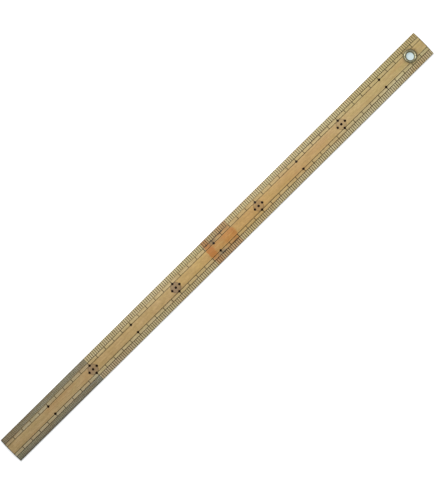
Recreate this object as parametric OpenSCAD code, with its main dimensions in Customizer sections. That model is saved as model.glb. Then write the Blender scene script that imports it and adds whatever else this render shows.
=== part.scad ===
// Bamboo ruler, 50 cm, with a lacquered scale cut along both edges and a hanging eyelet.
// The ruler lies on its flat back. X runs from the zero end to the eyelet end, +Y is the upper
// edge of the scale and Z = 0 is the back. All sizes are in millimetres.

/* [Strip] */
// Length of the strip, which is also the length of the scale
blade_l = 500; // [480:10:600]
// Width of the strip across both scales
blade_w = 25; // [23:0.5:28]
// Thickness at the crest of the crowned front
blade_t = 3.2; // [3:0.1:4.5]
// Radius of the crowned front, seen along the strip
crown_r = 60; // [50:5:150]
// Width of the broken arris along every edge of the strip
arris = 0.3; // [0.2:0.05:0.4]

/* [Scale] */
// Distance between ticks in the finely divided stretch
fine_pitch = 1; // [1:1:2]
// Length of the finely divided stretch, from the zero end
fine_l = 100; // [50:10:200]
// Distance between ticks in the rest of the scale
coarse_pitch = 2; // [2:1:5]
// Width of a cut line
line_w = 0.4; // [0.2:0.05:0.5]
// Depth of a cut line below the crowned front
line_d = 0.25; // [0.15:0.05:0.3]
// Distance from the middle of the strip to the inner long line
inner_line_y = 4.35; // [3.8:0.05:4.8]
// Distance from the middle of the strip to the outer long line, where the ticks start
outer_line_y = 7.35; // [6.9:0.05:8.2]

/* [Stars and dots] */
// Diameter of a lacquered dot
dot_d = 1.9; // [1.4:0.1:2.2]
// Depth of the drilled pit of a dot below the crest
dot_depth = 0.6; // [0.55:0.05:0.8]

/* [Eyelet] */
// Distance from the far end of the strip to the middle of the hole
hole_from_end = 16.4; // [14:0.2:20]
// Clear bore through the eyelet
bore_d = 7; // [6:0.1:7.4]
// Thickness of the sheet that the eyelet is pressed from
sheet_t = 0.4; // [0.3:0.05:0.5]
// Outer diameter of the domed flange on the front
flange_d = 12; // [11.6:0.1:12.4]
// Height of the domed flange above its seat
flange_h = 0.9; // [0.8:0.05:1.1]
// Depth of the spot-faced seat of the flange below the crest
seat_depth = 0.5; // [0.4:0.05:0.7]
// Gap between the rim of the flange and the wall of its seat
seat_gap = 0.25; // [0.1:0.05:0.3]
// Depth of the counterbore in the back
back_depth = 1.1; // [1:0.05:1.3]
// Outer diameter of the washer in the counterbore
washer_d = 11.4; // [11:0.1:12]
// Thickness of the washer
washer_t = 0.3; // [0.2:0.05:0.4]
// Width of the curl that is rolled over the washer
curl_w = 1.1; // [0.9:0.1:1.3]
// Distance that the curl stays inside the flat back
curl_recess = 0.1; // [0.05:0.05:0.2]
// Clearance round the barrel in the strip and in the washer, and round the washer
fit = 0.05; // [0.03:0.01:0.1]

/* [Hidden] */

bamboo_colour = [0.72, 0.61, 0.42];
lacquer_colour = [0.12, 0.09, 0.06];
metal_colour = [0.66, 0.65, 0.55];

// Sides of the wide circle of the crown, and of the small circles
crown_sides = 240;
round_sides = 96;
// How far a cut runs past the face that it enters
overrun = 1;

centimetre = 10;
star_every = 10 * centimetre;

zero_x = -blade_l / 2;
half_w = blade_w / 2;
crown_z = blade_t - crown_r;
edge_z = crown_z + sqrt(pow(crown_r, 2) - pow(half_w, 2));
arris_rise = blade_t - edge_z + arris;

inner_line_out = inner_line_y + line_w / 2;
outer_line_in = outer_line_y - line_w / 2;
outer_line_out = outer_line_y + line_w / 2;

hole_x = blade_l / 2 - hole_from_end;
bore_r = bore_d / 2;
barrel_r = bore_r + sheet_t;
hole_r = barrel_r + fit;
seat_r = flange_d / 2 + seat_gap;
seat_z = blade_t - seat_depth;
washer_z = back_depth - washer_t;
counterbore_r = washer_d / 2 + fit;

// Distances of the marks from the zero end
fine_marks = [for (mark = [fine_pitch : fine_pitch : fine_l - fine_pitch]) if (mark % centimetre != 0) mark];
coarse_marks = [for (mark = [fine_l : coarse_pitch : blade_l - coarse_pitch]) if (mark % centimetre != 0) mark];
centimetre_marks = [centimetre : centimetre : blade_l - centimetre];
star_marks = [star_every, 2 * star_every, 3 * star_every, 4 * star_every];
pair_marks = [for (i = [0 : 4]) (i + 0.5) * star_every];

// The strip. Its front is crowned along the whole length, and its arrises are broken.

// Outline across the strip, before the front is crowned
module cross_outline() {
    polygon([
        [half_w - arris, 0], [half_w, arris], [half_w, edge_z - arris], [half_w - arris_rise, blade_t],
        [arris_rise - half_w, blade_t], [-half_w, edge_z - arris], [-half_w, arris], [arris - half_w, 0]
    ]);
}

// Outline along the strip, seen from its edge
module side_outline() {
    polygon([
        [arris, 0], [blade_l - arris, 0], [blade_l, arris], [blade_l, blade_t], [0, blade_t], [0, arris]
    ]);
}

// A round bar whose surface is the crown, with its ends chamfered
module crown_bar() {
    translate([zero_x, 0, crown_z])
        rotate([0, 90, 0])
            rotate_extrude($fn = crown_sides)
                polygon([
                    [0, 0], [crown_r - arris, 0], [crown_r, arris],
                    [crown_r, blade_l - arris], [crown_r - arris, blade_l], [0, blade_l]
                ]);
}

// The same bar as deep as the floor of the cut lines, and longer than the strip
module floor_bar() {
    translate([zero_x - overrun, 0, crown_z])
        rotate([0, 90, 0])
            cylinder(h = blade_l + 2 * overrun, r = crown_r - line_d, $fn = crown_sides);
}

module plain_strip() {
    intersection() {
        translate([zero_x, 0, 0])
            rotate([90, 0, 90])
                linear_extrude(height = blade_l)
                    cross_outline();
        translate([zero_x, half_w, 0])
            rotate([90, 0, 0])
                linear_extrude(height = blade_w)
                    side_outline();
        crown_bar();
    }
}

// Plans of the marks, drawn flat on the upper half of the front

module long_line_plan(y) {
    translate([zero_x - overrun, y - line_w / 2])
        square([blade_l + 2 * overrun, line_w]);
}

module ticks_plan(marks, from_y, to_y) {
    for (mark = marks)
        translate([zero_x + mark - line_w / 2, from_y])
            square([line_w, to_y - from_y]);
}

module dot_plan(x, y) {
    translate([x, y])
        circle(d = dot_d, $fn = round_sides);
}

// Four dots round a fifth: two on the inner lines and two beside it on the middle of the strip
module star_plan(mark) {
    dot_plan(zero_x + mark, 0);
    for (side = [-1, 1]) {
        dot_plan(zero_x + mark + side * inner_line_y, 0);
        dot_plan(zero_x + mark, side * inner_line_y);
    }
}

module pair_plan(mark) {
    for (side = [-1, 1])
        dot_plan(zero_x + mark, side * inner_line_y);
}

// Everything that interrupts a line: the dots, and the seat of the eyelet
module interruptions_plan() {
    for (mark = star_marks)
        star_plan(mark);
    for (mark = pair_marks)
        pair_plan(mark);
    translate([hole_x, 0])
        circle(r = seat_r, $fn = round_sides);
}

module cut_lines_plan() {
    long_line_plan(inner_line_y);
    long_line_plan(outer_line_y);
    ticks_plan(centimetre_marks, inner_line_y, half_w + overrun);
    ticks_plan(fine_marks, outer_line_y, half_w + overrun);
    ticks_plan(coarse_marks, outer_line_y, half_w + overrun);
}

// The cut lines as solids that run from their floor to above the front
module cut_lines() {
    difference() {
        linear_extrude(height = blade_t + overrun) {
            cut_lines_plan();
            mirror([0, 1])
                cut_lines_plan();
        }
        floor_bar();
    }
}

module dot_pits() {
    translate([0, 0, blade_t - dot_depth])
        linear_extrude(height = dot_depth + overrun) {
            for (mark = star_marks)
                star_plan(mark);
            for (mark = pair_marks)
                pair_plan(mark);
        }
}

// The hole for the barrel, the seat of the flange in front and the counterbore behind
module eyelet_hole() {
    translate([hole_x, 0, -overrun])
        cylinder(h = blade_t + 2 * overrun, r = hole_r, $fn = round_sides);
    translate([hole_x, 0, seat_z])
        cylinder(h = seat_depth + overrun, r = seat_r, $fn = round_sides);
    translate([hole_x, 0, -overrun])
        cylinder(h = back_depth + overrun, r = counterbore_r, $fn = round_sides);
}

module bamboo_blade() {
    color(bamboo_colour)
        difference() {
            plain_strip();
            cut_lines();
            dot_pits();
            eyelet_hole();
        }
}

// The lacquer. It fills the cuts flush with the crowned front.

// Fills a plan from the floor of the cut lines to the surface
module line_fill() {
    color(lacquer_colour)
        intersection() {
            linear_extrude(height = blade_t)
                difference() {
                    children();
                    interruptions_plan();
                }
            difference() {
                plain_strip();
                floor_bar();
            }
        }
}

module dot_fill() {
    color(lacquer_colour)
        intersection() {
            translate([0, 0, blade_t - dot_depth])
                linear_extrude(height = dot_depth)
                    children();
            plain_strip();
        }
}

module inner_line() {
    line_fill()
        long_line_plan(inner_line_y);
}

module outer_line() {
    line_fill()
        long_line_plan(outer_line_y);
}

// A centimetre mark crosses the rail between the long lines, and goes on as a tick
module centimetre_set() {
    line_fill() {
        ticks_plan(centimetre_marks, inner_line_out, outer_line_in);
        ticks_plan(centimetre_marks, outer_line_out, half_w);
    }
}

module tick_set(marks) {
    line_fill()
        ticks_plan(marks, outer_line_out, half_w);
}

// The eyelet. Both its ends are formed rings of sheet metal, joined by the barrel.

// Half section of a domed ring that stands on the X axis, hollow underneath
module formed_ring(width, height) {
    dome_r = (pow(width / 2, 2) + pow(height, 2)) / (2 * height);
    difference() {
        intersection() {
            translate([bore_r + width / 2, height - dome_r])
                circle(r = dome_r, $fn = round_sides);
            translate([bore_r, 0])
                square([width, height]);
        }
        translate([bore_r + width / 2, height - dome_r])
            circle(r = dome_r - sheet_t, $fn = round_sides);
    }
}

module eyelet() {
    color(metal_colour)
        translate([hole_x, 0, 0])
            rotate_extrude($fn = round_sides) {
                translate([0, seat_z])
                    formed_ring(flange_d / 2 - bore_r, flange_h);
                translate([bore_r, washer_z])
                    square([sheet_t, seat_z - washer_z]);
                translate([0, washer_z])
                    mirror([0, 1])
                        formed_ring(sheet_t + curl_w, washer_z - curl_recess);
            }
}

module eyelet_washer() {
    color(metal_colour)
        translate([hole_x, 0, washer_z])
            difference() {
                cylinder(h = washer_t, d = washer_d, $fn = round_sides);
                translate([0, 0, -overrun])
                    cylinder(h = washer_t + 2 * overrun, r = hole_r, $fn = round_sides);
            }
}

module lower() {
    mirror([0, 1, 0])
        children();
}

bamboo_blade();
eyelet();
eyelet_washer();
inner_line();  // inner_line_upper
lower() inner_line();  // inner_line_lower
outer_line();  // outer_line_upper
lower() outer_line();  // outer_line_lower
centimetre_set();  // centimetre_marks_upper
lower() centimetre_set();  // centimetre_marks_lower
tick_set(fine_marks);  // fine_ticks_upper
lower() tick_set(fine_marks);  // fine_ticks_lower
tick_set(coarse_marks);  // coarse_ticks_upper
lower() tick_set(coarse_marks);  // coarse_ticks_lower
dot_fill() star_plan(star_marks[0]);  // star_10cm
dot_fill() star_plan(star_marks[1]);  // star_20cm
dot_fill() star_plan(star_marks[2]);  // star_30cm
dot_fill() star_plan(star_marks[3]);  // star_40cm
dot_fill() pair_plan(pair_marks[0]);  // dot_pair_05cm
dot_fill() pair_plan(pair_marks[1]);  // dot_pair_15cm
dot_fill() pair_plan(pair_marks[2]);  // dot_pair_25cm
dot_fill() pair_plan(pair_marks[3]);  // dot_pair_35cm
dot_fill() pair_plan(pair_marks[4]);  // dot_pair_45cm
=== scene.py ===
import math

import bmesh
import bpy
from mathutils import Matrix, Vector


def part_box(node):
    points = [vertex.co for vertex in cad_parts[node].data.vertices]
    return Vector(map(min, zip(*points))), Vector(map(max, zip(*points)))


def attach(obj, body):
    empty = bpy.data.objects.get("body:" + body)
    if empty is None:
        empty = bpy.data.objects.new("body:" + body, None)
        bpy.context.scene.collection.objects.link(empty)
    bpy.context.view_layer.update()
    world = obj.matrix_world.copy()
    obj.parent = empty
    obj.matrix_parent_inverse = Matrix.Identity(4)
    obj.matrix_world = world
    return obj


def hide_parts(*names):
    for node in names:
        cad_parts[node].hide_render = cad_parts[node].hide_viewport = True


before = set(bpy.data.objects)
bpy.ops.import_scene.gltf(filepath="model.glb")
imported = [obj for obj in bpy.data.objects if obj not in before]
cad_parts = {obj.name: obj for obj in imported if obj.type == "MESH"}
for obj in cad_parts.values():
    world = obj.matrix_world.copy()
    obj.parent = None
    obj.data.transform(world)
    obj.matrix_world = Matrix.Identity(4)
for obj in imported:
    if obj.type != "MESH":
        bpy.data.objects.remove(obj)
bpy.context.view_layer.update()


# The strip. One length of bamboo, split from a culm and planed: crowned in front, flat behind, its
# arrises broken. Every line and tick of the scale is a groove cut into the crown to one depth, and
# runs out through the arris. The sizes are in millimetres, and distances along it count from zero.
MM = 0.001
strip_low, strip_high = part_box("bamboo_blade")
strip_length = round((strip_high.x - strip_low.x) / MM, 3)
half_width = round(strip_high.y / MM, 3)
crest = round(strip_high.z / MM, 3)
crown_radius = 60.0
arris = 0.3
weld = 0.0005

line_width = 0.4
half_line = line_width / 2
line_depth = 0.25
inner_line = 4.35
outer_line = 7.35
centimetre = 10
fine_end = 100
fine_pitch = 1
coarse_pitch = 2


def crown(across, sunk=0.0):
    """Height of the crown at a distance from the middle, or of a surface sunk below it."""
    return crest - crown_radius + math.sqrt((crown_radius - sunk) ** 2 - across ** 2)


def arris_point(share):
    """Distance and height of a point on the rounded upper arris, from the crown to the edge."""
    left = 1 - share
    start = half_width - arris
    across = half_width - left ** 2 * arris
    height = left ** 2 * crown(start) + 2 * left * share * crown(half_width)
    return across, height + share ** 2 * (crown(half_width) - arris)


def groove_end():
    """The share of the arris at which the floor of a groove runs out."""
    inside, outside = 0.0, 1.0
    for _ in range(40):
        middle = (inside + outside) / 2
        across, height = arris_point(middle)
        if height > crown(across, line_depth):
            inside = middle
        else:
            outside = middle
    return inside


def spread(start, end, steps):
    """Evenly spaced values from start to end, without the start."""
    return [start + (end - start) * step / steps for step in range(1, steps + 1)]


def section_outline():
    """The closed outline across the strip: over the crown, down the edge and along the back."""
    columns = [0.0]
    columns += spread(0, inner_line - half_line, 3)
    columns += [inner_line + half_line]
    columns += spread(columns[-1], outer_line - half_line, 2)
    columns += [outer_line + half_line]
    columns += spread(columns[-1], half_width - arris, 4)
    half = [(across, crown(across)) for across in columns]
    half += [arris_point(share) for share in (0.35, 0.7, groove_end(), 1.0)]
    half += [(half_width, crown(half_width) / 2), (half_width, arris)]
    half += [(half_width - arris * 0.3, arris * 0.3), (half_width - arris, 0.0)]
    half += [(across, 0.0) for across in (9.0, 5.0, 0.0)]
    return half + [(-across, height) for across, height in half[-2:0:-1]]


def stations():
    """Where the strip has a ring of vertices: on both sides of each mark, and close at the ends."""
    near_end = [arris * share ** 2 for share in (0, 1 / 3, 2 / 3, 1)]
    places = list(near_end)
    marks = list(range(fine_pitch, fine_end, fine_pitch))
    marks += range(fine_end, round(strip_length), coarse_pitch)
    for mark in marks:
        places += [mark - half_line, mark + half_line]
    return places + [strip_length - inset for inset in reversed(near_end)]


INLAYS = [
    name + side
    for name in ("inner_line", "outer_line", "centimetre_marks", "fine_ticks", "coarse_ticks")
    for side in ("_upper", "_lower")
]


def inlay_at(along, across):
    """The inlay that lies at a place on the crown, or None on bare bamboo."""
    side = "_upper" if across > 0 else "_lower"
    across = abs(across)
    if abs(across - inner_line) < half_line:
        return "inner_line" + side
    if abs(across - outer_line) < half_line:
        return "outer_line" + side
    pitch = fine_pitch if along < fine_end - half_line else coarse_pitch
    mark = round(along / pitch) * pitch
    if abs(along - mark) > half_line or not 0 < mark < strip_length:
        return None
    if mark % centimetre == 0:
        return "centimetre_marks" + side if across > inner_line else None
    if across < outer_line:
        return None
    return ("fine_ticks" if mark < fine_end else "coarse_ticks") + side


def plain_strip():
    """The strip before its scale is cut, with the place of each inlay noted on its faces."""
    mesh = bmesh.new()
    corners = [mesh.verts.new((0, across, height)) for across, height in section_outline()]
    loop = [mesh.edges.new((corners[i - 1], corners[i])) for i in range(len(corners))]
    places = stations()
    for here, there in zip(places, places[1:]):
        grown = bmesh.ops.extrude_edge_only(mesh, edges=loop)["geom"]
        moved = [item for item in grown if isinstance(item, bmesh.types.BMVert)]
        bmesh.ops.translate(mesh, verts=moved, vec=(there - here, 0, 0))
        loop = [item for item in grown if isinstance(item, bmesh.types.BMEdge) and item.is_boundary]
    bmesh.ops.holes_fill(mesh, edges=[edge for edge in mesh.edges if edge.is_boundary], sides=0)
    bmesh.ops.recalc_face_normals(mesh, faces=mesh.faces)
    number = mesh.faces.layers.int.new("inlay")
    widest = arris_point(groove_end())[0]
    for face in mesh.faces:
        middle = face.calc_center_median()
        if face.normal.z > 0.1 and abs(middle.y) < widest:
            name = inlay_at(middle.x, middle.y)
            face[number] = INLAYS.index(name) + 1 if name else 0
    return mesh


def break_end_arrises(mesh):
    """Rounds the arrises at both ends of the strip."""
    middle = crest / 2
    for vert in mesh.verts:
        inside = max(0.0, min(vert.co.x, strip_length - vert.co.x))
        if inside < arris:
            drop = arris * (1 - math.sqrt(inside / arris)) ** 2
            vert.co.y *= 1 - drop / half_width
            vert.co.z = middle + (vert.co.z - middle) * (1 - drop / middle)


def sink(mesh, faces):
    """Extrudes faces of the crown down to the floor of the grooves."""
    grown = bmesh.ops.extrude_face_region(mesh, geom=faces)["geom"]
    for vert in (item for item in grown if isinstance(item, bmesh.types.BMVert)):
        vert.co.z = min(vert.co.z, crown(vert.co.y, line_depth))


def cut_grooves(mesh):
    """Sinks a groove wherever an inlay is noted, and opens it."""
    number = mesh.faces.layers.int["inlay"]
    lids = [face for face in mesh.faces if face[number]]
    sink(mesh, lids)
    bmesh.ops.delete(mesh, geom=[face for face in lids if face.is_valid], context="FACES")
    bmesh.ops.remove_doubles(mesh, verts=mesh.verts, dist=weld)


def finished(mesh, name):
    """Makes the object of a mesh that is in millimetres, with distances from the zero end."""
    bmesh.ops.translate(mesh, verts=mesh.verts, vec=(-strip_length / 2, 0, 0))
    bmesh.ops.scale(mesh, verts=mesh.verts, vec=(MM, MM, MM))
    data = bpy.data.meshes.new(name)
    mesh.to_mesh(data)
    mesh.free()
    piece = bpy.data.objects.new(name, data)
    bpy.context.scene.collection.objects.link(piece)
    smooth(piece)
    return piece


def smooth(piece, up_to=40):
    """Shades a piece smooth, with an edge left wherever its faces turn by more than an angle."""
    piece.data.shade_smooth()
    piece.data.set_sharp_from_angle(angle=math.radians(up_to))


def lathe(mesh, profile, steps, along, across, closed=False):
    """Turns a profile of radii and heights about an upright axis."""
    verts = [mesh.verts.new((along + radius, across, height)) for radius, height in profile]
    edges = [mesh.edges.new(pair) for pair in zip(verts, verts[1:])]
    if closed:
        edges.append(mesh.edges.new((verts[-1], verts[0])))
    bmesh.ops.spin(
        mesh, geom=verts + edges, cent=(along, across, 0), axis=(0, 0, 1),
        angle=math.tau, steps=steps, use_merge=True,
    )


def close(mesh):
    """Merges the doubles that turning leaves, and points every face outwards."""
    bmesh.ops.remove_doubles(mesh, verts=mesh.verts, dist=weld)
    bmesh.ops.recalc_face_normals(mesh, faces=mesh.faces)


# The drilled pits of the dots, and the stepped hole for the eyelet: a spot-face for its flange in
# front, a bore for its barrel, and a counterbore for the washer behind. They are cut last.
dot_radius = 0.95
pit_depth = 0.6
pit_floor = crest - pit_depth
dot_steps = 40
star_pitch = 100
star_places = list(range(star_pitch, round(strip_length), star_pitch))
pair_places = list(range(star_pitch // 2, round(strip_length), star_pitch))

hole_inset = 16.4
hole_along = strip_length - hole_inset
bore_radius = 3.5
sheet = 0.4
fit = 0.05
hole_radius = bore_radius + sheet + fit
flange_radius = 6.0
seat_radius = flange_radius + 0.25
seat_depth = 0.5
seat_height = crest - seat_depth
back_depth = 1.1
washer_radius = 5.7
round_steps = 96
overrun = 1.0


def pair_dots(mark):
    return [(mark, side * inner_line) for side in (-1, 1)]


def star_dots(mark):
    beside = [(mark + side * inner_line, 0) for side in (-1, 1)]
    return [(mark, 0)] + beside + pair_dots(mark)


def boring_tools():
    """The drills for all the pits, and the stepped one for the hole."""
    mesh = bmesh.new()
    dots = [dot for mark in star_places for dot in star_dots(mark)]
    dots += [dot for mark in pair_places for dot in pair_dots(mark)]
    top = crest + overrun
    for along, across in dots:
        drill = [(0, pit_floor), (dot_radius, pit_floor), (dot_radius, top), (0, top)]
        lathe(mesh, drill, dot_steps, along, across)
    counterbore = washer_radius + fit
    stepped = [
        (0, -overrun), (counterbore, -overrun), (counterbore, back_depth),
        (hole_radius, back_depth), (hole_radius, seat_height), (seat_radius, seat_height),
        (seat_radius, top), (0, top),
    ]
    lathe(mesh, stepped, round_steps, hole_along, 0)
    close(mesh)
    return finished(mesh, "boring_tools")


def bore(piece, tools):
    """Cuts the pits and the hole out of a piece."""
    cut = piece.modifiers.new("bore", "BOOLEAN")
    cut.operation = "DIFFERENCE"
    cut.solver = "MANIFOLD"
    cut.object = tools
    bpy.context.view_layer.update()
    evaluated = piece.evaluated_get(bpy.context.evaluated_depsgraph_get())
    bored = bpy.data.meshes.new_from_object(evaluated)
    bored.materials.clear()
    piece.modifiers.clear()
    piece.data = bored
    smooth(piece)


# The bamboo itself: honey-coloured and lightly mottled, with darker bundles of fibres along it, an
# orange band in three tones where the culm's node was planed off, and mauve stains under the
# stars. Lacquer crept into it beside the marks, use has worn its edges, and the back is paler.
# Painted shade darkens it round and towards the eyelet and along the lower edge, and a painted
# sheen pales its lower side in two stretches.
node_start = 240.0
node_pale_start = 247.0
node_middle = 254.0
node_pale_end = 257.0
node_end = 271.0
run_line = 6.2
stain_radius = 4.9
star_stains = [0.5, 0.7, 0.43, 0.31]


class Wire:
    """A socket of a finish. Sums, differences and products of wires add Math nodes."""

    def __init__(self, finish, socket):
        self.finish = finish
        self.socket = socket

    def math(self, operation, *values):
        return self.finish.math(operation, self, *values)

    def __add__(self, other):
        return self.math("ADD", other)

    def __sub__(self, other):
        return self.math("SUBTRACT", other)

    def __rsub__(self, other):
        return self.finish.math("SUBTRACT", other, self)

    def __mul__(self, other):
        return self.math("MULTIPLY", other)

    def __abs__(self):
        return self.math("ABSOLUTE")

    __radd__ = __add__
    __rmul__ = __mul__


class Finish:
    """A node material that is put together one node at a time."""

    def __init__(self, name):
        self.material = bpy.data.materials.new(name)
        self.material.use_nodes = True
        self.tree = self.material.node_tree
        self.tree.nodes.clear()

    def node(self, kind, settings=None, sockets=None, outputs=None):
        """Adds a node, and returns the wire of its first output or of each output that is named."""
        made = self.tree.nodes.new(kind)
        for name, value in (settings or {}).items():
            setattr(made, name, value)
        inputs = [socket for socket in made.inputs if socket.enabled]
        for name, value in (sockets or {}).items():
            if isinstance(name, int):
                socket = inputs[name]
            else:
                socket = next(socket for socket in inputs if socket.name == name)
            if isinstance(value, Wire):
                self.tree.links.new(value.socket, socket)
            else:
                socket.default_value = value
        shown = [socket for socket in made.outputs if socket.enabled]
        if outputs is None:
            return Wire(self, shown[0]) if shown else None
        wanted = [next(socket for socket in shown if socket.name == name) for name in outputs]
        return [Wire(self, socket) for socket in wanted]

    def math(self, operation, *values):
        return self.node("ShaderNodeMath", {"operation": operation}, dict(enumerate(values)))

    def millimetres(self):
        """The place on the piece in millimetres: along from the middle, across, and height."""
        place = self.node("ShaderNodeTexCoord", outputs=["Object"])[0]
        sockets = {"Vector": place, "Scale": 1 / MM}
        scaled = self.node("ShaderNodeVectorMath", {"operation": "SCALE"}, sockets)
        return self.node("ShaderNodeSeparateXYZ", sockets={0: scaled}, outputs=["X", "Y", "Z"])

    def join(self, x, y, z):
        return self.node("ShaderNodeCombineXYZ", sockets={0: x, 1: y, 2: z})

    def noise(self, vector, detail=2.0, roughness=0.5):
        sockets = {"Vector": vector, "Scale": 1.0, "Detail": detail, "Roughness": roughness}
        return self.node("ShaderNodeTexNoise", sockets=sockets)

    def rise(self, value, start, end):
        """Goes smoothly from 0 at start to 1 at end, which may be the lower of the two."""
        low, high = (0.0, 1.0) if start < end else (1.0, 0.0)
        sockets = {
            "Value": value, "From Min": min(start, end), "From Max": max(start, end),
            "To Min": low, "To Max": high,
        }
        return self.node("ShaderNodeMapRange", {"interpolation_type": "SMOOTHSTEP"}, sockets)

    def stretch(self, value, start, full, fading, end):
        """Is 1 from full to fading, and goes smoothly to 0 at start and at end."""
        return self.rise(value, start, full) * self.rise(value, end, fading)

    def distance(self, x, y):
        return (x * x + y * y).math("SQRT")

    def blend(self, mask, under, over, how="MIX"):
        settings = {"data_type": "RGBA", "blend_type": how}
        return self.node("ShaderNodeMix", settings, {"Factor": mask, "A": under, "B": over})

    def layer(self, colour, layers, how="MIX"):
        """Lays further colours over one, each through its own mask."""
        for mask, over in layers:
            colour = self.blend(mask, colour, over, how)
        return colour

    def surface(self, sockets, relief):
        """Ends the finish with a shader. The relief is a height in micrometres."""
        bump = {"Strength": 1.0, "Distance": MM * MM, "Height": relief}
        normal = self.node("ShaderNodeBump", sockets=bump)
        shader = self.node("ShaderNodeBsdfPrincipled", sockets={**sockets, "Normal": normal})
        self.node("ShaderNodeOutputMaterial", sockets={"Surface": shader})
        return self.material


def tone(red, green, blue):
    """A colour of 0 to 255, as it looks on a screen, in the linear form that a shader takes."""
    def linear(value):
        value /= 255
        return value / 12.92 if value <= 0.04045 else ((value + 0.055) / 1.055) ** 2.4
    return linear(red), linear(green), linear(blue), 1.0


def rubbed_stretches(finish, along):
    """Where a hand has rubbed the upper lines pale: both sides of the node, and the fine scale."""
    fine = finish.stretch(along, 12, 30, 90, 108) * 0.6
    before = finish.stretch(along, 120, 175, 228, 246)
    return fine + before + finish.stretch(along, 260, 270, 300, 365)


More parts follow.
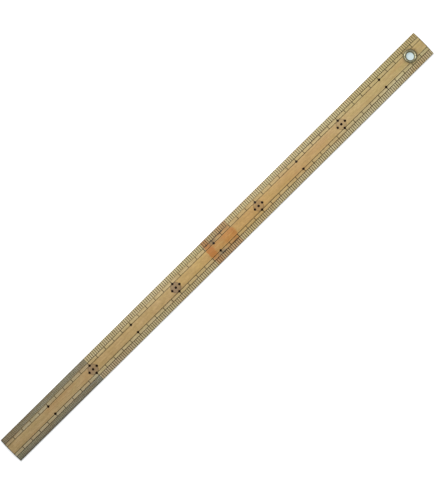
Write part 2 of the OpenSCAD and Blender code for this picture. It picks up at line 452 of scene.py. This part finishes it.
class BambooFinish(Finish):
    """The finish of the strip. Its wires say where a point lies, and how the fibre runs there."""

    def __init__(self):
        super().__init__("bamboo")
        x, self.across, self.height = self.millimetres()
        self.along = x + strip_length / 2
        self.to_end = strip_length / 2 - abs(x)
        self.outer = self.rise(abs(self.across), inner_line - 0.4, inner_line + 0.4)
        self.in_ticks = self.rise(abs(self.across), outer_line - 0.1, outer_line + 0.1)
        self.rail = self.outer * (1 - self.in_ticks)
        self.upper = self.rise(self.across, 3.6, 8)
        self.lower = self.rise(self.across, -2, -7)
        self.front = self.rise(self.height, 1.2, 1.6)
        self.behind = self.rise(self.height, 0.12, 0.02)
        self.end_grain = self.rise(self.to_end, 0.12, 0.02)
        self.fine_zone = self.rise(self.along, fine_end + 0.6, fine_end + 0.2)
        self.near_node = self.rise(abs(self.along - node_middle), 24, 4)

        drift = self.cloud(0.014, 0.1, 0.1, 1.0) - 0.5
        self.swirl = self.cloud(0.17, 0.25, 0.25, 2.0) - 0.5
        self.wavy = self.across + drift * 1.6 + self.swirl * self.near_node * 2.6
        self.streaks = self.grain(45, 0.5, 3.0, 5.0)
        self.streaky = self.rise(self.streaks, 0.35, 0.65)
        self.fibres = self.grain(20, 0.12, 2.0, 7.0)
        self.pores = self.rise(self.grain(2.4, 0.1, 1.0, 3.0), 0.66, 0.76)
        cell = self.join(self.along * (1 / 60), self.wavy * (1 / 0.7), self.height * (1 / 0.6))
        self.core = self.node("ShaderNodeTexVoronoi", sockets={"Vector": cell, "Scale": 1.0})
        self.bundles = self.rise(self.core, 0.42, 0.22)

    def cloud(self, lengthwise, crosswise, upwards, detail, shift=0.0):
        """Soft noise. The three numbers are how fast it changes along, across and up the strip."""
        along = self.along * lengthwise + shift
        return self.noise(self.join(along, self.across * crosswise, self.height * upwards), detail)

    def grain(self, length, width, detail=2.0, shift=0.0):
        """Noise drawn out along the fibres, in streaks of a length and a width."""
        along = self.along * (1 / length) + shift
        vector = self.join(along, self.wavy * (1 / width), self.height * (1 / width))
        return self.noise(vector, detail, 0.6)

    def aged(self):
        """The plain colour, how sun, hands and age have changed it from stretch to stretch, and
        painted shade and sheen.
        """
        along, across, outer, in_ticks = self.along, self.across, self.outer, self.in_ticks
        upper, lower, rail, fine_zone = self.upper, self.lower, self.rail, self.fine_zone
        colour = self.blend(outer, tone(192, 161, 106), tone(197, 175, 123))
        colour = self.blend(in_ticks, colour, tone(203, 187, 141))

        past_node = self.rise(along - outer * 20, 215, 262) * self.rise(along, 395, 345)
        golden = self.stretch(along, 194, 208, 238, 246) * 0.5
        golden = golden + self.stretch(along, 266, 276, 296, 320)
        dulled = self.rise(along - (1 - in_ticks) * 16, 196, 216) * upper
        pinkish = self.rise(along, 160, 120) * (1 - fine_zone) * lower * in_ticks
        colour = self.layer(colour, [
            (past_node * (1 - in_ticks), (0.97, 0.9, 0.79, 1)),
            (golden, (0.98, 0.92, 0.82, 1)),
            (self.stretch(along, 196, 206, 338, 350) * (1 - outer), (1, 1, 0.9, 1)),
            (self.stretch(along, 220, 228, 238, 246) * (1 - outer), (1.07, 1.09, 1.04, 1)),
            (dulled, (0.87, 0.9, 0.8, 1)),
            (pinkish, (0.92, 0.87, 0.94, 1)),
            (fine_zone * upper * (1 - in_ticks), (0.68, 0.68, 0.72, 1)),
            (self.rise(along, 28, 14) * upper * in_ticks, (0.85, 0.96, 1.04, 1)),
            # Painted shade: the lower rail darkens towards the eyelet end, beside the raised
            # flange.
            (self.rise(along, 462, 482) * lower * rail, (0.68, 0.76, 0.55, 1)),
        ], "MULTIPLY")

        # Bleaching and handled haze; their paler, bluer lower side is a painted sheen.
        bleached_and_sheen = self.blend(lower, tone(191, 174, 115), tone(210, 203, 162))
        handled_and_sheen = self.blend(lower, tone(180, 178, 154), tone(178, 184, 168))
        colour = self.layer(colour, [
            (self.rise(along, 385, 430) * 0.5, bleached_and_sheen),
            (self.rise(along, 205, 185) * lower * rail * 0.4, tone(208, 194, 152)),
            (self.front * fine_zone * (0.12 + outer * 0.28 + in_ticks * 0.35), handled_and_sheen),
        ])
        low_ticks = self.front * lower * in_ticks
        inside = self.rise(across, -10.6, -9.4) * self.rise(along, 90, 55)
        outside = self.rise(across, -9.7, -10.7) * self.rise(along, 78, 40)
        return self.layer(colour, [
            (low_ticks * inside, (1.16, 1.2, 1.13, 1)),
            (low_ticks * outside, (0.84, 0.91, 0.97, 1)),
        ], "MULTIPLY")

    def fibrous(self, colour):
        """A light and dark mottling, then streaks, fibres, bundles of fibres and pores."""
        for mottling, light, dark in (
            (self.cloud(0.11, 0.3, 0.3, 1.0), (1.05, 1.05, 1.1, 1), (0.95, 0.95, 0.9, 1)),
            (self.cloud(0.45, 0.8, 0.8, 1.0, 9.0), (1.07, 1.08, 1.08, 1), (0.93, 0.92, 0.92, 1)),
        ):
            uneven = self.blend(self.rise(mottling, 0.32, 0.68), light, dark)
            colour = self.blend(1.0, colour, uneven, "MULTIPLY")
        broad = self.grain(110, 2.4)
        patches = self.cloud(0.035, 0.11, 0.2, 2.0)
        return self.layer(colour, [
            (self.rise(broad, 0.45, 0.8) * 0.4, tone(172, 136, 84)),
            (self.rise(patches, 0.45, 0.75) * 0.35, tone(190, 143, 88)),
            (self.rise(self.streaks, 0.5, 0.75) * 0.35, tone(146, 110, 64)),
            (self.rise(self.fibres, 0.45, 0.8) * 0.3, tone(222, 197, 148)),
            (self.bundles * 0.22, tone(132, 98, 56)),
            (self.pores * 0.45, tone(96, 68, 38)),
        ])

    def planed_node(self, colour):
        """The band of the node, in three tones from the zero side on, each with a wavy edge."""
        outer, in_ticks, upper, lower = self.outer, self.in_ticks, self.upper, self.lower
        rail, streaky = self.rail, self.streaky
        bulge = (self.across * self.across).math("MINIMUM", 22) * 0.08
        edge = self.along + self.swirl * 1.6 + (self.streaks - 0.5) * 1.6
        first = self.rise(edge - bulge * 0.5, node_start - 0.5, node_start + 0.3)
        first = first * self.rise(edge, node_pale_start + 1.6, node_pale_start - 1.0)
        second = self.rise(edge, node_pale_start - 1.0, node_pale_start + 1.6)
        second = second * self.rise(edge, node_pale_end + 3, node_pale_end - 2)
        third = self.rise(edge, node_pale_end - 2, node_pale_end + 3)
        third = third * self.rise(edge + bulge, node_end + 1.8, node_end - 0.4)
        last = self.rise(edge + bulge, node_end - 7, node_end - 2)
        banded = first + second + third
        second = second * (1 - outer * 0.2 - lower * (in_ticks * 0.1 + rail * 0.45))
        third = third * (1 - outer * 0.2 - lower * in_ticks * 0.3)
        return self.layer(colour, [
            (first * (0.85 + streaky * 0.15) * (1 - lower * outer * 0.4), (0.93, 0.54, 0.24, 1)),
            (first * upper * 0.8, (0.98, 0.9, 0.78, 1)),
            (second * (0.35 + streaky * 0.65), (0.93, 0.74, 0.5, 1)),
            (third * (0.5 + streaky * 0.5), (1.0, 0.66, 0.34, 1)),
            (third * last * 0.5, (0.88, 0.72, 0.55, 1)),
            (banded * upper * 0.8, (0.8, 0.78, 0.76, 1)),
            (banded * upper * rail, (0.97, 0.9, 0.83, 1)),
            (banded * lower * outer * 0.8, (0.88, 0.78, 0.82, 1)),
        ], "MULTIPLY")

    def stained_rounds(self, colour):
        """A mauve round under each star, with a browner rim."""
        for mark, strength in zip(star_places, star_stains):
            out = self.distance(self.along - mark, self.across)
            frayed = out + (self.fibres - 0.5) * 0.5
            disc = self.rise(frayed, stain_radius + 0.25, stain_radius - 0.25) * self.front
            rim = self.rise(abs(out - (stain_radius - 0.5)), 0.5, 0.1)
            colour = self.layer(colour, [
                (disc * (strength * 0.85 + self.streaky * (strength * 0.3)), (0.46, 0.44, 0.69, 1)),
                (rim * 0.35 * self.front, (0.42, 0.36, 0.22, 1)),
            ], "MULTIPLY")
        return colour

    def crept_lacquer(self, colour):
        """Lacquer that crept from the marks and dots into the fibres, and that ran at the node."""
        along, across, front, fibres = self.along, self.across, self.front, self.fibres
        to_fine = along.math("PINGPONG", fine_pitch / 2)
        to_coarse = along.math("PINGPONG", coarse_pitch / 2)
        is_fine = along.math("LESS_THAN", fine_end + fine_pitch / 2)
        to_tick = is_fine * to_fine + (1 - is_fine) * to_coarse
        to_mark = along.math("PINGPONG", centimetre / 2)
        to_line = abs(abs(across) - inner_line).math("MINIMUM", abs(abs(across) - outer_line))
        near_tick = self.rise(to_tick, half_line + 0.2, half_line) * self.in_ticks
        near_mark = self.rise(to_mark, half_line + 0.25, half_line) * self.rail
        near_line = self.rise(to_line, half_line + 0.2, half_line)
        rubbed = self.rise(across, outer_line - 1.5, outer_line - 0.6)
        near_line = near_line * (0.75 - rubbed_stretches(self, along) * rubbed * 0.6)
        crept = near_tick.math("MAXIMUM", near_line).math("MAXIMUM", near_mark) * front
        crept = crept * self.rise(fibres, 0.25, 0.5)
        crept = crept * (0.8 + self.near_node * 0.2 - self.fine_zone * 0.3)

        to_star = along.math("PINGPONG", star_pitch / 2)
        to_pair = along.math("PINGPONG", star_pitch / 4)
        to_dot = self.distance(to_pair, abs(across) - inner_line)
        to_dot = to_dot.math("MINIMUM", self.distance(to_star, across))
        to_dot = to_dot.math("MINIMUM", self.distance(to_star - inner_line, across))
        near_dot = self.rise(to_dot, dot_radius + 0.4, dot_radius + 0.05)
        near_dot = near_dot * self.rise(self.to_end, 10, 20)

        blots = self.rise(self.cloud(0.32, 0.5, 0.5, 1.0), 0.5, 0.58) * self.near_node * front
        blots = blots * self.rise(abs(abs(across) - outer_line), 0.9, 0.35)
        run = self.rise(abs(along - pair_places[2]), 5, 2)
        run = run * self.rise(abs(abs(across) - run_line), 1.8, 0.8)
        run = run * self.rise(fibres, 0.35, 0.55) * front
        thinned = self.blend(self.lower, tone(84, 74, 54), tone(118, 114, 104))
        return self.layer(colour, [
            (crept, tone(74, 59, 32)),
            (near_dot * front * 0.9, tone(44, 24, 8)),
            (blots * 0.9, tone(60, 45, 28)),
            (run * 0.6, thinned),
        ])

    def back_and_ends(self, colour):
        """The paler inner wall of the culm behind, and the cut bundles of fibres at both ends."""
        darker = self.rise(self.streaks, 0.4, 0.7)
        inner_wall = self.blend(darker, tone(206, 184, 138), tone(176, 146, 96))
        inner_wall = self.blend(self.bundles * 0.4, inner_wall, tone(140, 106, 62))
        outwards = self.rise(self.height, 0.2, 2.8)
        cut_end = self.blend(outwards, tone(192, 164, 112), tone(166, 130, 78))
        strands = self.rise(self.core - self.rise(self.height, 0.4, 2.6) * 0.22, 0.36, 0.18)
        cut_end = self.blend(strands * 0.8, cut_end, tone(88, 60, 34))
        return self.layer(colour, [
            (self.behind * 0.75, inner_wall),
            (self.end_grain * 0.9, cut_end),
        ])

    def worn(self, colour):
        """Grime and painted shade round the eyelet, grime on the worn ends and edges, and painted
        shade on the lower edge.
        """
        off_eyelet = self.distance(self.along - hole_along, self.across)
        # Darker round the eyelet: grime, and painted shade beside the raised flange.
        eyelet_grime_and_shade = self.rise(off_eyelet, flange_radius + 2.6, flange_radius + 0.2) * self.front
        under_crown = crest - self.across * self.across * (0.5 / crown_radius) - self.height
        ends = self.rise(self.to_end, 1.1, 0.3) * self.rise(under_crown, 0.7, 0.2) * 0.75
        edges = self.rise(abs(self.across), half_width - 0.9, half_width + 0.1) * 0.6
        # Painted shade along the lower edge over the fine scale, laid on with the grime of the ends
        # and edges.
        shaded_low_edge = self.rise(self.across, 1.8 - half_width, 0.5 - half_width) * self.fine_zone
        rubbed = ends.math("MAXIMUM", edges).math("MAXIMUM", shaded_low_edge * 0.45)
        grime_and_shade = self.blend(self.fine_zone, tone(116, 98, 68), tone(84, 78, 64))
        return self.layer(colour, [
            (eyelet_grime_and_shade * 0.45, tone(112, 94, 58)),
            (rubbed, grime_and_shade),
        ])


def bamboo_finish():
    """Lays the colours over one another in the order in which they came to the strip."""
    finish = BambooFinish()
    colour = finish.fibrous(finish.aged())
    colour = finish.stained_rounds(finish.planed_node(colour))
    colour = finish.crept_lacquer(colour)
    colour = finish.worn(finish.back_and_ends(colour))
    fibres = finish.fibres
    roughness = 0.46 + fibres * 0.14 + finish.end_grain * 0.2 + finish.behind * 0.15
    relief = finish.streaks * 14 + fibres * 8 - finish.pores * 12 + finish.bundles * 5
    relief = relief + finish.swirl * finish.near_node * 60
    shine = {"Specular IOR Level": 0.35, "Coat Weight": 0.1, "Coat Roughness": 0.35}
    return finish.surface({"Base Color": colour, "Roughness": roughness, **shine}, relief)


tools = boring_tools()
bare = plain_strip()
break_end_arrises(bare)
grooved = bare.copy()
cut_grooves(grooved)
strip = finished(grooved, "strip")
bore(strip, tools)
strip.data.materials.append(bamboo_finish())
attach(strip, "root")
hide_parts("bamboo_blade")


# The lines and ticks. Dull black-brown lacquer is rubbed into the grooves and wiped off flush, so
# it stands a hair below the bamboo at the walls and sinks a little between them.
wiped_below = 0.01
hollow = 0.03
thinnest = 0.01


def lacquer_finish():
    finish = Finish("line_lacquer")
    x, across, height = finish.millimetres()
    patches = finish.noise(finish.join(x * 0.05, across * 0.25, height), 3.0, 0.6)
    specks = finish.noise(finish.join(x * 2.4, across * 2.4, height * 2.4), 3.0, 0.6)
    worn = finish.rise(patches + specks * 0.6, 0.78, 1.05)
    colour = finish.blend(worn * 0.4, tone(38, 27, 11), tone(88, 68, 38))
    on_outer = finish.rise(abs(across - outer_line), 0.45, 0.25)
    on_inner = finish.rise(abs(across - inner_line), 0.45, 0.25)
    rubbed = rubbed_stretches(finish, x + strip_length / 2) * (on_outer * 0.95 + on_inner * 0.35)
    colour = finish.blend(rubbed, colour, tone(146, 122, 78))
    sockets = {"Base Color": colour, "Roughness": 0.62 + worn * 0.2, "Specular IOR Level": 0.1}
    return finish.surface(sockets, specks * 12)


def groove_fill(name):
    """The lacquer of one inlay: its stretch of the crown, thickened down to the groove's floor."""
    fill = bare.copy()
    number = fill.faces.layers.int["inlay"]
    wanted = INLAYS.index(name) + 1
    spare = [face for face in fill.faces if face[number] != wanted]
    bmesh.ops.delete(fill, geom=spare, context="FACES")
    lengthwise = "line" in name
    crossing = []
    for edge in fill.edges:
        run = edge.verts[1].co - edge.verts[0].co
        if (abs(run.y) > abs(run.x)) == lengthwise:
            crossing.append(edge)
    bmesh.ops.subdivide_edges(fill, edges=crossing, cuts=3)
    lids = list(fill.faces)
    sink(fill, lids)
    line = inner_line if "inner" in name else outer_line
    for vert in {vert for face in lids for vert in face.verts}:
        off_middle = abs(vert.co.y) - line if lengthwise else vert.co.x - round(vert.co.x)
        sag = hollow * (1 - (off_middle / half_line) ** 2)
        lowest = crown(vert.co.y, line_depth) + thinnest
        vert.co.z = max(vert.co.z - wiped_below - sag, min(lowest, vert.co.z))
    close(fill)
    return fill


line_lacquer = lacquer_finish()
for inlay in INLAYS:
    piece = finished(groove_fill(inlay), "lacquer_" + inlay)
    if "inner_line" in inlay or "centimetre" in inlay:
        bore(piece, tools)
    piece.data.materials.append(line_lacquer)
    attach(piece, "root")
    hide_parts(inlay)
bare.free()


# The dots. A drop of glossy black lacquer fills each drilled pit and dries with a low dome, its
# rim just under the bamboo. Five make a star at every tenth centimetre, and two a pair between.
dome = 0.01
rim_below = 0.01


def dot_finish():
    finish = Finish("dot_lacquer")
    x, across, height = finish.millimetres()
    dust = finish.noise(finish.join(x * 3, across * 3, height * 3), 3.0, 0.6)
    dulled = finish.rise(dust, 0.5, 0.7)
    colour = finish.blend(dulled * 0.3, tone(24, 9, 2), tone(44, 28, 16))
    sockets = {"Base Color": colour, "Roughness": 0.26 + dulled * 0.1, "Specular IOR Level": 0.12}
    return finish.surface(sockets, dust * 4)


def drops(dots):
    """The drops of lacquer at some dots, each following the fall of the crown."""
    mesh = bmesh.new()
    profile = [(dot_radius * share, 0) for share in (0, 0.3, 0.6, 0.82, 0.95, 1.0)]
    profile += [(dot_radius, pit_floor - crest), (0, pit_floor - crest)]
    for along, across in dots:
        first = len(mesh.verts)
        lathe(mesh, profile, dot_steps, along, across)
        mesh.verts.ensure_lookup_table()
        for vert in mesh.verts[first:]:
            if vert.co.z < -dome:
                vert.co.z = pit_floor
            else:
                out = math.hypot(vert.co.x - along, vert.co.y - across) / dot_radius
                vert.co.z = crown(vert.co.y) - rim_below + dome * max(0.0, 1 - out ** 2)
    close(mesh)
    return mesh


dot_lacquer = dot_finish()
dot_groups = {"star_%02dcm" % (mark // centimetre): star_dots(mark) for mark in star_places}
for mark in pair_places:
    dot_groups["dot_pair_%02dcm" % (mark // centimetre)] = pair_dots(mark)
for node, dots in dot_groups.items():
    piece = finished(drops(dots), "lacquer_" + node)
    piece.data.materials.append(dot_lacquer)
    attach(piece, "root")
    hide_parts(node)
bpy.data.objects.remove(tools)


# The eyelet. It is pressed from dulled nickel-plated sheet: a domed flange sunk in the crown, a
# barrel through the strip, and a rim rolled out behind over a thin washer.
flange_height = 0.9
washer_thickness = 0.3
curl_width = 1.1
curl_recess = 0.1


def domed(inner, outer, base, rise, points):
    """Radii and heights of an arc that rises over a base between two radii, or hangs below it."""
    half = (outer - inner) / 2
    radius = (half ** 2 + rise ** 2) / (2 * abs(rise))
    reach = math.asin(min(1.0, half / radius))
    if abs(rise) > half:
        reach = math.pi - reach
    arc = []
    for step in range(points + 1):
        angle = reach * (2 * step / points - 1)
        lift = abs(rise) - radius + radius * math.cos(angle)
        arc.append((inner + half + radius * math.sin(angle), base + math.copysign(lift, rise)))
    return arc


def eyelet_outline():
    """The closed half section of the sheet, once over its outside and back along its inside."""
    washer_base = back_depth - washer_thickness
    curl_outer = bore_radius + sheet + curl_width
    curl_rise = curl_recess - washer_base
    under = bore_radius + sheet
    outline = domed(bore_radius, curl_outer, washer_base, curl_rise, 14)[::-1]
    outline += domed(bore_radius, flange_radius, seat_height, flange_height, 18)
    outline += domed(under, flange_radius - sheet, seat_height, flange_height - sheet, 14)[::-1]
    outline += [(under, back_depth)]
    outline += domed(under, curl_outer - sheet, washer_base, curl_rise + sheet * 0.75, 10)
    return outline


def metal_finish():
    finish = Finish("eyelet_metal")
    x, across, height = finish.millimetres()
    tarnish = finish.noise(finish.join(x * 0.7, across * 0.7, height * 0.7), 4.0, 0.6)
    scuffs = finish.noise(finish.join(x * 9, across * 1.6, height * 3), 3.0, 0.7)
    dull = finish.rise(tarnish + scuffs * 0.35, 0.55, 0.85)
    colour = finish.blend(dull, tone(180, 175, 144), tone(134, 127, 94))
    roughness = 0.43 + dull * 0.14 + scuffs * 0.08
    relief = scuffs * 4 + tarnish * 3
    return finish.surface({"Base Color": colour, "Metallic": 1.0, "Roughness": roughness}, relief)


eyelet_metal = metal_finish()
mesh = bmesh.new()
lathe(mesh, eyelet_outline(), round_steps, hole_along, 0, closed=True)
close(mesh)
eyelet = finished(mesh, "pressed_eyelet")
eyelet.data.materials.append(eyelet_metal)
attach(eyelet, "root")
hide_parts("eyelet")


# The washer. A thin steel ring in the counterbore, blanked with a slight roll at its edges, that
# the rolled rim of the eyelet grips.
edge_roll = 0.06


def washer_outline():
    """The closed half section of the washer."""
    low, high = back_depth - washer_thickness, back_depth
    inside, outside = hole_radius, washer_radius
    return [
        (inside + edge_roll, low), (outside - edge_roll, low), (outside, low + edge_roll),
        (outside, high - edge_roll), (outside - edge_roll, high), (inside + edge_roll, high),
        (inside, high - edge_roll), (inside, low + edge_roll),
    ]


mesh = bmesh.new()
lathe(mesh, washer_outline(), round_steps, hole_along, 0, closed=True)
close(mesh)
washer = finished(mesh, "blanked_washer")
washer.data.materials.append(eyelet_metal)
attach(washer, "root")
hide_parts("eyelet_washer")


# The table. A broad white sheet that the ruler lies on, seen as white where nothing shades it.
# Under the hole, which the walls of the strip shade, it is duller and a little blue. From here on,
# sizes are in metres.
table_size = 40.0
table_below = 0.02 * MM
table_glow = 0.6

mesh = bmesh.new()
bmesh.ops.create_grid(mesh, x_segments=1, y_segments=1, size=table_size / 2)
bmesh.ops.translate(mesh, verts=mesh.verts, vec=(0, 0, -table_below))
data = bpy.data.meshes.new("table")
mesh.to_mesh(data)
mesh.free()
table = bpy.data.objects.new("table", data)
bpy.context.scene.collection.objects.link(table)
white = Finish("table_white")
camera_ray, glossy_ray, clear_ray = white.node(
    "ShaderNodeLightPath", outputs=["Is Camera Ray", "Is Glossy Ray", "Is Transmission Ray"]
)
seen = (camera_ray + glossy_ray + clear_ray).math("MINIMUM", 1.0)
x, across, height = white.millimetres()
off_hole = white.distance(x + (strip_length / 2 - hole_along), across)
in_hole = white.rise(off_hole, hole_radius + 0.3, hole_radius - 0.2)
lit_colour = white.blend(in_hole, tone(232, 232, 232), tone(134, 134, 134))
lit = white.node("ShaderNodeBsdfDiffuse", sockets={"Color": lit_colour})
glow_colour = white.blend(in_hole, (0.95, 0.98, 1, 1), (0.74, 0.94, 0.97, 1))
glow_sockets = {"Color": glow_colour, "Strength": seen * table_glow}
glow = white.node("ShaderNodeEmission", sockets=glow_sockets)
both = white.node("ShaderNodeAddShader", sockets={0: lit, 1: glow})
white.node("ShaderNodeOutputMaterial", sockets={"Surface": both})
table.data.materials.append(white.material)


# The light. A soft box stands off the upper long edge, a little towards the eyelet end, and the
# room gives an even fill. Past the table the camera sees the room as pale as the table.
scene = bpy.context.scene
room = bpy.data.worlds.new("room")
room.use_nodes = True
room_fill = room.node_tree.nodes["Background"]
room_fill.inputs["Color"].default_value = (0.96, 0.98, 1.0, 1)
room_strength, seen_strength = 0.27, 0.83
ray = room.node_tree.nodes.new("ShaderNodeLightPath")
brightness = room.node_tree.nodes.new("ShaderNodeMapRange")
brightness.inputs["To Min"].default_value = room_strength
brightness.inputs["To Max"].default_value = seen_strength
room.node_tree.links.new(ray.outputs["Is Camera Ray"], brightness.inputs["Value"])
room.node_tree.links.new(brightness.outputs["Result"], room_fill.inputs["Strength"])
scene.world = room

box_side = 0.26
stand_off, box_height = 0.27, 0.5
box = bpy.data.lights.new("soft_box", "AREA")
box.shape = "RECTANGLE"
box.size = box_side
box.size_y = box_side
box.energy = 2.85
soft_box = bpy.data.objects.new("soft_box", box)
soft_box.location = (0.1, stand_off, box_height)
soft_box.rotation_euler = (-math.atan2(stand_off, box_height), 0, 0)
scene.collection.objects.link(soft_box)

scene.view_settings.view_transform = "Standard"


# The camera. It looks straight down on the ruler, turned so that the scale climbs to the right.
# The ruler's middle in the picture shares out the slight bow that the photographed one has.
climb = math.radians(44.64)
camera_height = 0.8
image_width, image_height = 435, 495
scale_in_image = 1.1625
ruler_middle = (217.2, 246.8)
sensor = 36.0

right = (math.cos(climb), -math.sin(climb))
up = (math.sin(climb), math.cos(climb))
off_right = (image_width / 2 - ruler_middle[0]) / scale_in_image * MM
off_up = (ruler_middle[1] - image_height / 2) / scale_in_image * MM
camera_data = bpy.data.cameras.new("camera")
camera_data.sensor_width = sensor
camera_data.lens = sensor * camera_height / (image_height / scale_in_image * MM)
camera = bpy.data.objects.new("camera", camera_data)
camera.location = (
    off_right * right[0] + off_up * up[0], off_right * right[1] + off_up * up[1],
    camera_height + crest * MM,
)
camera.rotation_euler = (0, 0, -climb)
scene.collection.objects.link(camera)
scene.camera = camera
